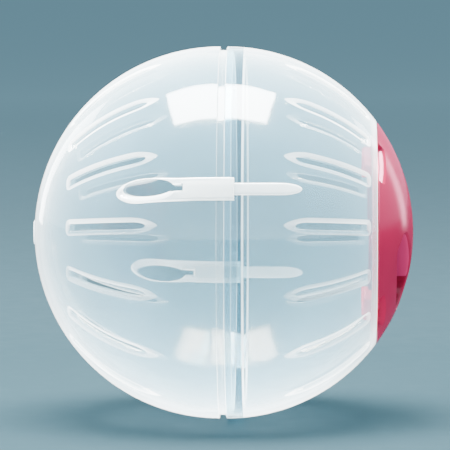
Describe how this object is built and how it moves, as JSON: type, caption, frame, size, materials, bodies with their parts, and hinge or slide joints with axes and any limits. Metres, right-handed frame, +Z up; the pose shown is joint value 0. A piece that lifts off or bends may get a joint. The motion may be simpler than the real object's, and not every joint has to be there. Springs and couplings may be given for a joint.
{
  "type": "small rodent exercise ball",
  "caption": "Clear exercise ball for a mouse or dwarf hamster: two slotted half shells held by tongues in sleeves, with a pink twist-off bayonet lid",
  "frame": {"origin": "middle of the ball, on its axis and half way between the two half shells' rims", "axes": "+X along the ball's axis towards the lid, +Z up, -Y towards the side with the front latch; angles about X are measured from -Y towards +Z"},
  "size_m": [0.1225, 0.1202, 0.12],
  "materials": {
    "clear_shell": "milky translucent, glossy",
    "pink_lid": "glossy"
  },
  "bodies": {
    "left_half": {"left_half_shell": "clear_shell", "front_latch_hood": "clear_shell", "rear_latch_hood": "clear_shell"},
    "right_half": {"right_half_shell": "clear_shell", "front_latch_tongue": "clear_shell", "rear_latch_tongue": "clear_shell"},
    "lid_carrier": {"lid_skirt_ring": "pink_lid"},
    "lid": {"lid_cap": "pink_lid", "lid_lug_1": "pink_lid", "lid_lug_2": "pink_lid", "lid_lug_3": "pink_lid", "lid_lug_4": "pink_lid"}
  },
  "joints": [
    {"name": "halves_pull_apart", "type": "slide", "parent": "left_half", "child": "right_half", "axis": [1, 0, 0], "range_m": [0, 0.04]},
    {"name": "lid_pull_off", "type": "slide", "parent": "right_half", "child": "lid_carrier", "axis": [1, 0, 0], "range_m": [0, 0.04]},
    {"name": "lid_twist", "type": "hinge", "parent": "lid_carrier", "child": "lid", "pos_m": [0.05, 0, 0], "axis": [1, 0, 0], "range_deg": [-20, 0]}
  ]
}
